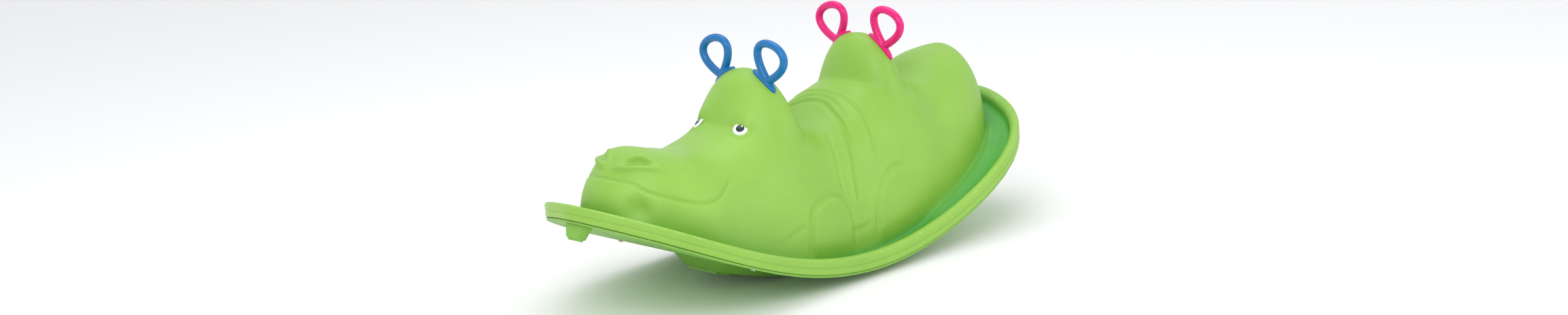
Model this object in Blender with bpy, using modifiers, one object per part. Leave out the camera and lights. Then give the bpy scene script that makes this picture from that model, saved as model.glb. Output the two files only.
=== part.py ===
"""A two-child hippo seesaw: a moulded body shell closed by a rocker base, with ear-shaped handles.

Metres, +Z up. The hippo looks along -X, its left side is -Y, and the middle of its keel
stands on the floor at the origin.
"""

import math

import bpy
import bmesh
import numpy as np
from mathutils import Matrix, Vector

# ---- overall sizes
HALF_LENGTH = 0.515
HALF_WIDTH = 0.217
LIP_LOW_HEIGHT = 0.045  # top of the lip above the floor, half way along
LIP_RISE = 0.173  # how much higher the lip is at each end
LIP_FLATTENING = 0.29  # share of the rise that grows slower than the square

# ---- walls, gaps and mesh fineness
WALL = 0.0035
GAP = 0.0003
CLOSING_GAP = 0.0008  # between the lip and the rocker base, which follow the curve with facets
COLUMNS = 50  # mesh columns from the front end to the rear end

# ---- foot trough and lip
LIP_HEIGHT = 0.028
LIP_WIDTH = 0.018
LIP_ROUNDING = 0.007
TROUGH_DEPTH = 0.020

# ---- hippo body: a long loaf with a head dome and a hump dome on its back
BODY_HALF_LENGTH = 0.465
BODY_HALF_WIDTH = 0.160
SPINE_HALF_LENGTH = 0.385
SECTION_POWER = 2.5
# Points of the loaf's ridge line, from the muzzle over both seats to the rump.
RIDGE = [
    (-0.540, 0.215),
    (-0.480, 0.247),
    (-0.430, 0.260),
    (-0.380, 0.283),
    (-0.320, 0.270),
    (-0.260, 0.257),
    (-0.200, 0.267),
    (-0.100, 0.294),
    (0.000, 0.246),
    (0.100, 0.289),
    (0.200, 0.309),
    (0.270, 0.280),
    (0.320, 0.304),
    (0.370, 0.3215),
    (0.420, 0.328),
    (0.480, 0.294),
    (0.540, 0.235),
]
DOME_FOOT_HEIGHT = 0.183
DOME_BLEND = 0.055  # height over which a dome runs smoothly into the loaf
HEAD_DOME = {"x": -0.100, "front": 0.071, "rear": 0.067, "half_width": 0.117, "top": 0.3675, "power": 2.1}
HUMP_DOME = {"x": 0.187, "front": 0.052, "rear": 0.057, "half_width": 0.102, "top": 0.3785, "power": 2.4}

# ---- keel, stop pads and feet
KEEL_DEPTH = 0.017  # below the lower edge of the lip
KEEL_HALF_WIDTH = 0.095
KEEL_END_HALF_WIDTH = 0.042
KEEL_SIDE_RUN = 0.022
KEEL_HALF_LENGTH = 0.236
KEEL_END_RUN = 0.025
FLAT_HALF_LENGTH = 0.040
PAD_THICKNESS = 0.004
PAD_LENGTH = 0.035
PAD_HALF_WIDTH = 0.036
PLUG_RADIUS = 0.004
PLUG_LENGTH = 0.0065
PAD_PLUG_SPACING = 0.040
FOOT_INSET = 0.018  # from the end of the rim to the middle of a foot
FOOT_DEPTH = 0.026
FOOT_LENGTH = 0.020
FOOT_WIDTH = 0.054

# ---- base screws
SCREW_STATIONS = [-0.430, -0.270, -0.090, 0.090, 0.270, 0.430]
SCREW_RADIUS = 0.0018
SCREW_GRIP = 0.0065
SCREW_HEAD_RADIUS = 0.004
SCREW_HEAD_HEIGHT = 0.0022
BOSS_RADIUS = 0.006
HOLE_CLEARANCE = 0.0003

# ---- ear handles
EAR_TUBE_RADIUS = 0.0067
EAR_HEIGHT = 0.071  # base to the middle of the tube at the top
EAR_HALF_WIDTH = 0.033
EAR_FOOT_HALF_WIDTH = 0.010
EAR_FOOT_TURN = math.radians(60)  # part of the loop left open at the foot, each way
EAR_STATIONS = {"front": -0.100, "rear": 0.194}
EAR_OFFSET = 0.058
EAR_SPLAY = math.radians(15)
COLLAR_HALF_WIDTH = 0.021  # across the seesaw, down the dome's shoulder
COLLAR_HALF_DEPTH = 0.012
COLLAR_HEIGHT = 0.005
RECESS_DEPTH = 0.0022
PAD_UNDER_EAR = 0.0115  # shell thickness under an ear, from the dome to the inner face
EAR_BOSS_RADIUS = 0.0125
EAR_BOSS_TOP_RADIUS = 0.008
EAR_BOSS_TOP = 0.0025
SPIGOT_RADIUS = 0.007
WASHER_RADIUS = 0.009
WASHER_THICKNESS = 0.0015
EAR_SCREW_GRIP = 0.010

# ---- eyes
EYE_STATION = -0.166
EYE_OFFSET = 0.052
EYE_RADIUS = 0.013
EYE_THICKNESS = 0.0022
EYE_POCKET = 0.0014
PUPIL_RADIUS = 0.0065
PUPIL_THICKNESS = 0.0010
PUPIL_POCKET = 0.0005


def clear_scene():
    for obj in list(bpy.data.objects):
        bpy.data.objects.remove(obj, do_unlink=True)


def new_collection(name):
    collection = bpy.data.collections.new(name)
    bpy.context.scene.collection.children.link(collection)
    return collection


def new_material(name, color, roughness, metallic=0.0):
    material = bpy.data.materials.new(name)
    material.use_nodes = True
    shader = material.node_tree.nodes["Principled BSDF"]
    shader.inputs["Base Color"].default_value = (*color, 1.0)
    shader.inputs["Roughness"].default_value = roughness
    shader.inputs["Metallic"].default_value = metallic
    material.diffuse_color = (*color, 1.0)
    return material


clear_scene()
SEESAW = new_collection("hippo_seesaw")
CUTTERS = new_collection("cutters")
BODY_PLASTIC = new_material("body_plastic", (0.33, 0.62, 0.09), 0.42)
FRONT_HANDLE_PLASTIC = new_material("front_handle_plastic", (0.0, 0.16, 0.50), 0.35)
REAR_HANDLE_PLASTIC = new_material("rear_handle_plastic", (0.83, 0.0, 0.22), 0.35)
EYE_PLASTIC = new_material("eye_plastic", (0.85, 0.87, 0.88), 0.30)
PUPIL_PLASTIC = new_material("pupil_plastic", (0.01, 0.02, 0.05), 0.25)
ZINCED_STEEL = new_material("zinced_steel", (0.55, 0.56, 0.57), 0.35, 1.0)


# ---- curves that the parts share


def lip_top(x):
    """Height of the top of the lip, a rocker curve that is the same towards both ends."""
    t = x / HALF_LENGTH
    return LIP_LOW_HEIGHT + LIP_RISE * t * t * (1 + LIP_FLATTENING - LIP_FLATTENING * t * t)


def lip_slope(x):
    t = x / HALF_LENGTH
    return LIP_RISE * (2 * t * (1 + LIP_FLATTENING) - 4 * LIP_FLATTENING * t**3) / HALF_LENGTH


def upright(x, thickness):
    """The upright distance that a thickness measured square to the rocker curve takes up."""
    return thickness * math.hypot(1, lip_slope(x))


def outline_width(x):
    """Half the width of the lip: nearly straight sides and boat-shaped ends."""
    t = min(abs(x) / HALF_LENGTH, 1)
    return HALF_WIDTH * (1 - t**6.8) ** 0.74


def body_width(x):
    t = min(abs(x) / BODY_HALF_LENGTH, 1)
    return BODY_HALF_WIDTH * (1 - t**3.4) ** 0.46


def ridge(x):
    """Height of the ridge line: a smooth curve through the RIDGE points."""
    xs = [point[0] for point in RIDGE]
    i = min(max(int(np.searchsorted(xs, x)) - 1, 1), len(xs) - 3)
    (x0, z0), (x1, z1), (x2, z2), (x3, z3) = RIDGE[i - 1 : i + 3]
    t = (x - x1) / (x2 - x1)
    start = (z2 - z0) / (x2 - x0) * (x2 - x1)
    end = (z3 - z1) / (x3 - x1) * (x2 - x1)
    bend = (2 * t**3 - 3 * t**2 + 1) * z1 + (3 * t**2 - 2 * t**3) * z2
    return bend + (t**3 - 2 * t**2 + t) * start + (t**3 - t**2) * end


def smooth_highest(one, other, blend):
    """The higher of two heights, rounded where they are within the blend of each other."""
    near = max(blend - abs(one - other), 0) / blend
    return max(one, other) + near * near * blend / 4


def dome_height(x, y, dome):
    """Height of a dome over a plan point. Outside its foot the dome goes on down as a steep wall."""
    half_length = dome["front"] if x < dome["x"] else dome["rear"]
    away = math.hypot((x - dome["x"]) / half_length, y / dome["half_width"])
    rise = (1 - min(away, 1) ** dome["power"]) ** (1 / dome["power"])
    return DOME_FOOT_HEIGHT + (dome["top"] - DOME_FOOT_HEIGHT) * rise - 2 * max(away - 1, 0)


def body_point(along, share):
    """A point of the body's left side: along runs from -1 to 1, share from the spine to the foot."""
    x = along * (SPINE_HALF_LENGTH + (BODY_HALF_LENGTH - SPINE_HALF_LENGTH) * share)
    y = -body_width(BODY_HALF_LENGTH * along) * share
    floor = lip_top(x) - TROUGH_DEPTH
    z = floor + (ridge(x) - floor) * (1 - share**SECTION_POWER) ** (1 / SECTION_POWER)
    for dome in (HEAD_DOME, HUMP_DOME):
        z = smooth_highest(z, dome_height(x, y, dome), DOME_BLEND)
    return Vector((x, y, z))


def body_height(x, y):
    """Height of the body over a plan point, found by halving the span of its share."""
    low, high = 0.0, 1.0
    for _ in range(40):
        share = (low + high) / 2
        along = x / (SPINE_HALF_LENGTH + (BODY_HALF_LENGTH - SPINE_HALF_LENGTH) * share)
        if body_width(BODY_HALF_LENGTH * along) * share < abs(y):
            low = share
        else:
            high = share
    return body_point(along, share).z


def body_normal(x, y):
    step = 0.002
    dx = (body_height(x + step, y) - body_height(x - step, y)) / (2 * step)
    dy = (body_height(x, y + step) - body_height(x, y - step)) / (2 * step)
    return Vector((-dx, -dy, 1)).normalized()


def along_steps():
    """Stations from -1 to 1, closer together at both ends and over the two domes."""
    fine = np.linspace(-1, 1, 4001)
    density = 1 / np.sqrt(1.0002 - fine**2)
    for dome in (HEAD_DOME, HUMP_DOME):
        density += 1.6 * np.exp(-(((fine * SPINE_HALF_LENGTH - dome["x"]) / 0.06) ** 2))
    reached = np.cumsum(density) - density[0]
    return np.interp(np.linspace(0, reached[-1], COLUMNS + 1), reached, fine).tolist()


# ---- mesh helpers


def add_object(name, mesh, material, collection=SEESAW):
    obj = bpy.data.objects.new(name, mesh)
    collection.objects.link(obj)
    if material:
        mesh.materials.append(material)
    if collection is CUTTERS:
        obj.hide_render = True
        obj.display_type = "WIRE"
    return obj


def finish_mesh(name, bm, smooth=False):
    bmesh.ops.recalc_face_normals(bm, faces=bm.faces)
    mesh = bpy.data.meshes.new(name)
    bm.to_mesh(mesh)
    bm.free()
    if smooth:
        mesh.shade_smooth()
    return mesh


def loft(bm, rows):
    """Quads between rows of points. Rows that all start in one place still get their own points."""
    rings = [[bm.verts.new(point) for point in row] for row in rows]
    for one, two in zip(rings, rings[1:]):
        for i in range(len(one) - 1):
            bm.faces.new((one[i], one[i + 1], two[i + 1], two[i]))


def placed(point, direction):
    """A matrix whose +Z runs along direction, at point."""
    turn = Vector(direction).to_track_quat("Z", "Y").to_matrix().to_4x4()
    return Matrix.Translation(point) @ turn


def add_rod(bm, matrix, radius, low, high, segments=24, top_radius=None):
    """A cylinder or cone round the matrix's Z axis, from low to high on it."""
    bmesh.ops.create_cone(
        bm,
        cap_ends=True,
        segments=segments,
        radius1=radius,
        radius2=radius if top_radius is None else top_radius,
        depth=high - low,
        matrix=matrix @ Matrix.Translation((0, 0, (low + high) / 2)),
    )


def rods_object(name, rods, material=None, collection=CUTTERS):
    bm = bmesh.new()
    for rod in rods:
        add_rod(bm, *rod)
    return add_object(name, finish_mesh(name, bm), material, collection)


def boolean(obj, operation, other):
    modifier = obj.modifiers.new(operation.lower() + "_" + other.name, "BOOLEAN")
    modifier.operation = operation
    modifier.object = other
    modifier.solver = "EXACT"


def mirror_and_thicken(obj, offset):
    mirror = obj.modifiers.new("other_side", "MIRROR")
    mirror.use_axis = (False, True, False)
    mirror.merge_threshold = 0.00002
    solidify = obj.modifiers.new("wall", "SOLIDIFY")
    solidify.thickness = WALL
    solidify.offset = offset
    solidify.use_even_offset = True


# ---- places that several parts use


def screw_places():
    """A matrix for each base screw: Z square to the rocker curve, origin on the lip's lower edge."""
    places = []
    for x in SCREW_STATIONS:
        inner = body_width(x)
        outer = outline_width(x) - LIP_WIDTH
        for side in (-1, 1):
            point = (x, side * (inner + outer) / 2, lip_top(x) - LIP_HEIGHT)
            places.append(placed(point, (-lip_slope(x), 0, 1)))
    return places


def ear_places(loops=False):
    """A matrix for each ear, origin on the dome and X across the loop.

    Z is square to the dome's shoulder, or runs up the middle of the loop if loops is set.
    """
    places = {}
    for end, x in EAR_STATIONS.items():
        for side_name, side in (("left", -1), ("right", 1)):
            y = side * EAR_OFFSET
            normal = body_normal(x, y)
            tilt = side * EAR_SPLAY if loops else math.atan2(normal.y, normal.z)
            turn = Matrix.Rotation(-tilt, 4, "X") @ Matrix.Rotation(math.pi / 2, 4, "Z")
            places[f"{end}_{side_name}"] = Matrix.Translation((x, y, body_height(x, y))) @ turn
    return places


def collar_rod(place, extra, low, high, taper=1.0):
    """An ear's oval collar, or the same oval grown by extra, as a rod for rods_object."""
    wide = COLLAR_HALF_WIDTH + extra
    squeeze = Matrix.Diagonal((1, (COLLAR_HALF_DEPTH + extra) / wide, 1, 1))
    return (place @ squeeze, wide, low, high, 32, wide * taper)


def eye_places():
    places = {}
    for side_name, side in (("left", -1), ("right", 1)):
        y = side * EYE_OFFSET
        base = Vector((EYE_STATION, y, body_height(EYE_STATION, y)))
        places[side_name] = placed(base, body_normal(EYE_STATION, y))
    return places


# ---- body shell


def shell_row(along):
    """One column of the shell's outer skin, from the spine over the foot and the trough to the lip."""
    row = [body_point(along, math.sin(a) ** 0.9) for a in np.linspace(0, math.pi / 2, 13)]
    foot = row[-1]
    x_lip = HALF_LENGTH * along
    outer = Vector((x_lip, -outline_width(x_lip), 0))
    across = Vector((outer.x - foot.x, outer.y - foot.y, 0))
    run = across.length
    across.normalize()

    def at(distance, below_lip):
        point = Vector((foot.x, foot.y, 0)) + across * distance
        return Vector((point.x, point.y, lip_top(point.x) - below_lip))

    inner = run - LIP_WIDTH
    row.append(at(inner * 0.5, TROUGH_DEPTH))
    row.append(at(inner, TROUGH_DEPTH))
    row.append(at(inner, LIP_ROUNDING))
    row.append(at(inner + LIP_ROUNDING * 0.3, LIP_ROUNDING * 0.3))
    row.append(at(inner + LIP_ROUNDING, 0))
    row.append(at(run - LIP_ROUNDING, 0))
    row.append(at(run - LIP_ROUNDING * 0.3, LIP_ROUNDING * 0.3))
    row.append(at(run, LIP_ROUNDING))
    row.append(at(run, LIP_HEIGHT))
    return row


def build_body_shell():
    bm = bmesh.new()
    loft(bm, [shell_row(along) for along in along_steps()])
    for vert in bm.verts:
        if abs(vert.co.y) < 0.00001:
            vert.co.y = 0
    mesh = finish_mesh("body_shell", bm, smooth=True)
    shell = add_object("body_shell", mesh, BODY_PLASTIC)
    if mesh.polygons[0].normal.z < 0:
        mesh.flip_normals()
    mirror_and_thicken(shell, -1)

    solids = [
        (place, BOSS_RADIUS, 0, LIP_HEIGHT - TROUGH_DEPTH - WALL / 2) for place in screw_places()
    ]
    solids += [
        (place, EAR_BOSS_RADIUS, -PAD_UNDER_EAR, -EAR_BOSS_TOP, 24, EAR_BOSS_TOP_RADIUS)
        for place in ear_places().values()
    ]
    boolean(shell, "UNION", rods_object("shell_bosses", solids))

    holes = [
        (place, SCREW_RADIUS + HOLE_CLEARANCE, -0.002, SCREW_GRIP + GAP)
        for place in screw_places()
    ]
    for place in ear_places().values():
        holes.append((place, SPIGOT_RADIUS + HOLE_CLEARANCE, -0.02, -RECESS_DEPTH + 0.0005))
    boolean(shell, "DIFFERENCE", rods_object("shell_holes", holes))
    pockets = [
        collar_rod(place, HOLE_CLEARANCE, -RECESS_DEPTH, 0.02) for place in ear_places().values()
    ]
    pockets += [
        (place, EYE_RADIUS + HOLE_CLEARANCE, -EYE_POCKET, 0.01) for place in eye_places().values()
    ]
    boolean(shell, "DIFFERENCE", rods_object("shell_pockets", pockets))
    return shell


# ---- rocker base


def base_under(x):
    """Height of the flange's lower face."""
    return lip_top(x) - LIP_HEIGHT - upright(x, CLOSING_GAP + WALL)


def keel_under(x):
    """Height of the keel's lower face: the rocker curve, flat in the middle."""
    beyond = max(abs(x) - FLAT_HALF_LENGTH, 0) * HALF_LENGTH / (HALF_LENGTH - FLAT_HALF_LENGTH)
    return lip_top(beyond) - LIP_HEIGHT - KEEL_DEPTH


def keel_width(x):
    """Half the width of the keel: a boat shape, widest half way along."""
    t = min(abs(x) / KEEL_HALF_LENGTH, 1)
    return KEEL_END_HALF_WIDTH + (KEEL_HALF_WIDTH - KEEL_END_HALF_WIDTH) * (1 - t**2.2)


def base_stations():
    """Columns along the base, with one at every edge of the keel."""
    edges = [FLAT_HALF_LENGTH, KEEL_HALF_LENGTH, KEEL_HALF_LENGTH + KEEL_END_RUN, HALF_LENGTH]
    counts = [2, 6, 1, 10]
    half = []
    low = 0.0
    for high, count in zip(edges, counts):
        shares = [i / count for i in range(count)]
        if high == HALF_LENGTH:
            shares = [math.sin(share * math.pi / 2) for share in shares]
        half += [low + (high - low) * share for share in shares]
        low = high
    half.append(HALF_LENGTH - LIP_ROUNDING / 4)
    return [-x for x in reversed(half[1:])] + half


def base_row(x):
    flange = base_under(x)
    in_keel = abs(x) <= KEEL_HALF_LENGTH + 1e-6
    keel = keel_under(x) if in_keel else flange
    edge = outline_width(x) * (1 - LIP_ROUNDING / 4 / HALF_WIDTH)
    width = min(keel_width(x), edge * 0.6)
    row = [Vector((x, -width * share, keel)) for share in (0, 0.5, 1)]
    side = min(keel_width(x) + KEEL_SIDE_RUN, edge * 0.75)
    row.append(Vector((x, -side, flange)))
    row.append(Vector((x, -(side + edge) / 2, flange)))
    row.append(Vector((x, -edge, flange)))
    return row


def build_rocker_base():
    bm = bmesh.new()
    loft(bm, [base_row(x) for x in base_stations()])
    mesh = finish_mesh("rocker_base", bm)
    base = add_object("rocker_base", mesh, BODY_PLASTIC)
    if mesh.polygons[0].normal.z > 0:
        mesh.flip_normals()
    mirror_and_thicken(base, -1)
    holes = [
        (place, SCREW_RADIUS + HOLE_CLEARANCE, -0.01, 0.002) for place in screw_places()
    ]
    holes += [
        (place, PLUG_RADIUS + HOLE_CLEARANCE, -0.006, 0.012) for place in plug_places().values()
    ]
    boolean(base, "DIFFERENCE", rods_object("base_holes", holes))
    return base


# ---- feet and stop pads


def plug_places():
    """Matrices of the plugs that hold the stop pads and the feet, square to the rocker curve."""
    places = {}
    middle = KEEL_HALF_LENGTH - PAD_LENGTH / 2
    for end, sign in (("front", -1), ("rear", 1)):
        x = sign * middle
        for side_name, side in (("left", -1), ("right", 1)):
            point = (x, side * PAD_PLUG_SPACING / 2, keel_under(x))
            places[f"{end}_pad_{side_name}"] = placed(point, (-lip_slope(x), 0, 1))
        x = sign * (HALF_LENGTH - FOOT_INSET)
        places[f"{end}_foot"] = placed((x, 0, base_under(x)), (-lip_slope(x), 0, 1))
    return places


def build_stop_pad(end, sign):
    """A pad that follows the keel's lower face, with two plugs through the keel."""
    bm = bmesh.new()
    rows = []
    for i in range(7):
        x = sign * (KEEL_HALF_LENGTH - PAD_LENGTH * i / 6)
        low = keel_under(x) - upright(x, GAP + PAD_THICKNESS)
        rows.append([Vector((x, y, low)) for y in (-PAD_HALF_WIDTH, 0, PAD_HALF_WIDTH)])
    loft(bm, rows)
    mesh = finish_mesh(f"{end}_stop_pad", bm)
    if mesh.polygons[0].normal.z > 0:
        mesh.flip_normals()
    pad = add_object(f"{end}_stop_pad", mesh, BODY_PLASTIC)
    solidify = pad.modifiers.new("thickness", "SOLIDIFY")
    solidify.thickness = PAD_THICKNESS
    solidify.offset = -1
    plugs = [
        (plug_places()[f"{end}_pad_{side}"], PLUG_RADIUS, -PAD_THICKNESS / 2, PLUG_LENGTH)
        for side in ("left", "right")
    ]
    boolean(pad, "UNION", rods_object(f"{end}_pad_plugs", plugs))
    return pad


def build_foot(end):
    """A tapering foot under the end of the rim, held by one plug through the base."""
    place = plug_places()[f"{end}_foot"]
    bm = bmesh.new()
    bmesh.ops.create_cube(bm, size=1)
    for vert in bm.verts:
        taper = 1 if vert.co.z > 0 else 0.72
        vert.co.x *= FOOT_WIDTH * taper
        vert.co.y *= FOOT_LENGTH * taper
        vert.co.z = -GAP if vert.co.z > 0 else -FOOT_DEPTH
    bmesh.ops.bevel(
        bm,
        geom=[e for e in bm.edges if max(v.co.z for v in e.verts) < -FOOT_DEPTH / 2 or
              abs(e.verts[0].co.z - e.verts[1].co.z) > FOOT_DEPTH / 2],
        offset=0.004,
        segments=3,
        affect="EDGES",
    )
    bmesh.ops.transform(bm, matrix=place, verts=bm.verts)
    foot = add_object(f"{end}_foot", finish_mesh(f"{end}_foot", bm), BODY_PLASTIC)
    plug = [(place, PLUG_RADIUS, -FOOT_DEPTH / 3, PLUG_LENGTH)]
    boolean(foot, "UNION", rods_object(f"{end}_foot_plug", plug))
    return foot


# ---- screws


def build_screw(name, matrix, grip, tip):
    """A pan-head screw: the head starts at grip below the origin, the shank ends at tip above it."""
    bm = bmesh.new()
    add_rod(bm, matrix, SCREW_HEAD_RADIUS, -grip - SCREW_HEAD_HEIGHT, -grip, 20)
    head = add_object(name, finish_mesh(name, bm), ZINCED_STEEL)
    shank = [(matrix, SCREW_RADIUS, -grip - SCREW_HEAD_HEIGHT / 2, tip, 16)]
    boolean(head, "UNION", rods_object(name + "_shank", shank))
    return head


def build_base_screws():
    for number, place in enumerate(screw_places(), 1):
        build_screw(f"base_screw_{number:02d}", place, CLOSING_GAP + WALL + GAP, SCREW_GRIP)


# ---- ear handles


def ear_loop_points():
    """The loop's middle line in its own plane: a teardrop, widest above half its height."""
    points = []
    for angle in np.linspace(EAR_FOOT_TURN, 2 * math.pi - EAR_FOOT_TURN, 29):
        wide = math.sin(angle) * math.sin(angle / 2) / 0.77
        points.append(Vector((EAR_HALF_WIDTH * wide, 0, EAR_HEIGHT * (1 - math.cos(angle)) / 2)))
    return points


def build_ear(name, seat, loop_place, material):
    feet = [seat @ Vector((side * EAR_FOOT_HALF_WIDTH, 0, EAR_TUBE_RADIUS)) for side in (1, -1)]
    points = [feet[0]] + [loop_place @ point for point in ear_loop_points()] + [feet[1]]
    curve = bpy.data.curves.new(name + "_loop", "CURVE")
    curve.dimensions = "3D"
    spline = curve.splines.new("POLY")
    spline.points.add(len(points) - 1)
    for point, co in zip(spline.points, points):
        point.co = (*co, 1)
    curve.bevel_depth = EAR_TUBE_RADIUS
    curve.bevel_resolution = 2
    curve.use_fill_caps = True
    tube = bpy.data.objects.new(name + "_loop", curve)
    CUTTERS.objects.link(tube)
    graph = bpy.context.evaluated_depsgraph_get()
    loop_mesh = bpy.data.meshes.new_from_object(tube.evaluated_get(graph))
    bpy.data.objects.remove(tube)
    loop = add_object(name + "_loop", loop_mesh, None, CUTTERS)

    collar = collar_rod(seat, 0, -RECESS_DEPTH + GAP, COLLAR_HEIGHT, 0.62)
    ear = rods_object(name, [collar], material, SEESAW)
    boolean(ear, "UNION", loop)
    spigot = [(seat, SPIGOT_RADIUS, -PAD_UNDER_EAR + GAP, COLLAR_HEIGHT / 2)]
    boolean(ear, "UNION", rods_object(name + "_spigot", spigot))
    pilot = [
        (seat, SCREW_RADIUS + HOLE_CLEARANCE, -PAD_UNDER_EAR - 0.002,
         -PAD_UNDER_EAR + EAR_SCREW_GRIP + GAP, 16)
    ]
    boolean(ear, "DIFFERENCE", rods_object(name + "_pilot", pilot))
    return ear


def build_washer(name, matrix):
    top = -PAD_UNDER_EAR - GAP
    rod = (matrix, WASHER_RADIUS, top - WASHER_THICKNESS, top, 24)
    washer = rods_object(name, [rod], ZINCED_STEEL, SEESAW)
    hole = (matrix, SCREW_RADIUS + HOLE_CLEARANCE, top - 0.005, top + 0.005, 16)
    boolean(washer, "DIFFERENCE", rods_object(name + "_hole", [hole]))
    return washer


def build_ears():
    loop_places = ear_places(loops=True)
    for place_name, matrix in ear_places().items():
        end, side = place_name.split("_")
        material = FRONT_HANDLE_PLASTIC if end == "front" else REAR_HANDLE_PLASTIC
        build_ear(f"{end}_ear_handle_{side}", matrix, loop_places[place_name], material)
        build_washer(f"{end}_handle_washer_{side}", matrix)
        grip = PAD_UNDER_EAR + WASHER_THICKNESS + 2 * GAP
        tip = -PAD_UNDER_EAR + EAR_SCREW_GRIP
        build_screw(f"{end}_handle_screw_{side}", matrix, grip, tip)


# ---- eyes


def build_eyes():
    for side, matrix in eye_places().items():
        low = -EYE_POCKET + GAP
        top = low + EYE_THICKNESS
        white = rods_object(f"eye_white_{side}", [(matrix, EYE_RADIUS, low, top, 32)],
                            EYE_PLASTIC, SEESAW)
        pocket = (matrix, PUPIL_RADIUS + HOLE_CLEARANCE, top - PUPIL_POCKET, top + 0.002, 24)
        boolean(white, "DIFFERENCE", rods_object(f"pupil_pocket_{side}", [pocket]))
        start = top - PUPIL_POCKET + GAP
        rods_object(f"eye_pupil_{side}", [(matrix, PUPIL_RADIUS, start, start + PUPIL_THICKNESS, 24)],
                    PUPIL_PLASTIC, SEESAW)


build_body_shell()
build_rocker_base()
for end_name, end_sign in (("front", -1), ("rear", 1)):
    build_stop_pad(end_name, end_sign)
    build_foot(end_name)
build_base_screws()
build_ears()
build_eyes()
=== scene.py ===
# A hippo seesaw for two small children: one hollow moulded body closed by a curved rocker base,
# with a pair of ear-shaped handles for each rider. Metres, +Z up. The hippo looks along -X and
# its left side is -Y. The pieces follow in the order in which the seesaw is put together.
import math

import bmesh
import bpy
import numpy as np
from mathutils import Matrix, Vector


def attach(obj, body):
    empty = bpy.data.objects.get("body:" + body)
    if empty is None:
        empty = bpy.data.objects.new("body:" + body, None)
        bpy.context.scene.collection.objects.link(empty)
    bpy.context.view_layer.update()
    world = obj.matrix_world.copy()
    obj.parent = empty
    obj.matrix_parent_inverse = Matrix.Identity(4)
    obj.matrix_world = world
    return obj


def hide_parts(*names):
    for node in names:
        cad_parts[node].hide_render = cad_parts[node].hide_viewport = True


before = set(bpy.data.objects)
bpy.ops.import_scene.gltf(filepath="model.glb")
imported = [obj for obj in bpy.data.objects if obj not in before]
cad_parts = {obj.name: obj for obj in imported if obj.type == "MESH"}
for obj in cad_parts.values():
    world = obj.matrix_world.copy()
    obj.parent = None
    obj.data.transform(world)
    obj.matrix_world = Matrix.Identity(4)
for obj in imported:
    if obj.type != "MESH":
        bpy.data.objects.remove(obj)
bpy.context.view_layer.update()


# ---------------------------------------------------------------- studio
# A pale, matt studio floor under large soft boxes, and the camera low in front of the left side.
# Nothing here belongs to the seesaw.
FLOOR_SIZE = 60.0
FLOOR_COLOR = (0.90, 0.90, 0.90)
FLOOR_ROUGHNESS = 0.75
SKY_COLOR = (0.97, 0.98, 1.0)
SKY_STRENGTH = 0.90
CAMERA_AZIMUTH = math.radians(-43.26)
CAMERA_ELEVATION = math.radians(13.42)
CAMERA_ROLL = math.radians(-4.27)
CAMERA_DISTANCE = 4.313
CAMERA_TARGET = Vector((-0.0195, 0.0, 0.1883))
CAMERA_LENS = 55.28
CAMERA_SENSOR = 36.0
SOFT_BOX_AIM = Vector((0, 0, 0.2))
# Each soft box: name, place, size, power, colour.
SOFT_BOXES = [
    ("key_box", (-2.6, -1.6, 2.4), 1.8, 34.0, (1.0, 0.98, 0.94)),
    ("side_box", (0.9, -3.2, 1.6), 2.2, 20.0, (0.97, 0.99, 1.0)),
    ("top_box", (0.2, 0.6, 3.2), 2.4, 26.0, (1.0, 1.0, 1.0)),
]

bpy.context.scene.view_settings.view_transform = "Standard"

bpy.ops.mesh.primitive_plane_add(size=FLOOR_SIZE)
studio_floor = bpy.context.object
studio_floor.name = "studio_floor"
floor_paint = bpy.data.materials.new("floor_paint")
floor_paint.use_nodes = True
floor_shader = floor_paint.node_tree.nodes["Principled BSDF"]
floor_shader.inputs["Base Color"].default_value = (*FLOOR_COLOR, 1)
floor_shader.inputs["Roughness"].default_value = FLOOR_ROUGHNESS
studio_floor.data.materials.append(floor_paint)

sky = bpy.data.worlds.new("pale_sky")
sky.use_nodes = True
sky_light = sky.node_tree.nodes["Background"]
sky_light.inputs["Color"].default_value = (*SKY_COLOR, 1)
sky_light.inputs["Strength"].default_value = SKY_STRENGTH
bpy.context.scene.world = sky

for box_name, box_place, box_size, box_power, box_color in SOFT_BOXES:
    lamp = bpy.data.lights.new(box_name, "AREA")
    lamp.size = box_size
    lamp.energy = box_power
    lamp.color = box_color
    soft_box = bpy.data.objects.new(box_name, lamp)
    soft_box.location = box_place
    aim = SOFT_BOX_AIM - Vector(box_place)
    soft_box.rotation_euler = aim.to_track_quat("-Z", "Y").to_euler()
    bpy.context.scene.collection.objects.link(soft_box)

camera_back = Vector(
    (
        math.sin(CAMERA_AZIMUTH) * math.cos(CAMERA_ELEVATION),
        -math.cos(CAMERA_AZIMUTH) * math.cos(CAMERA_ELEVATION),
        math.sin(CAMERA_ELEVATION),
    )
)
camera_right = camera_back.cross(Vector((0, 0, -1))).normalized()
camera_up = camera_back.cross(camera_right)
turned_right = camera_right * math.cos(CAMERA_ROLL) + camera_up * math.sin(CAMERA_ROLL)
turned_up = camera_up * math.cos(CAMERA_ROLL) - camera_right * math.sin(CAMERA_ROLL)
camera_turn = Matrix((turned_right, turned_up, camera_back)).transposed().to_4x4()
camera = bpy.data.objects.new("camera", bpy.data.cameras.new("camera"))
camera.data.lens = CAMERA_LENS
camera.data.sensor_width = CAMERA_SENSOR
camera_place = Matrix.Translation(CAMERA_TARGET + camera_back * CAMERA_DISTANCE)
camera.matrix_world = camera_place @ camera_turn
bpy.context.scene.collection.objects.link(camera)
bpy.context.scene.camera = camera


# ---------------------------------------------------------------- body moulding
# The hippo itself with its foot trough and raised rim: one rotomoulded skin of green
# polyethylene. The face, the neck folds and the legs are shallow relief in the mould.

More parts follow.
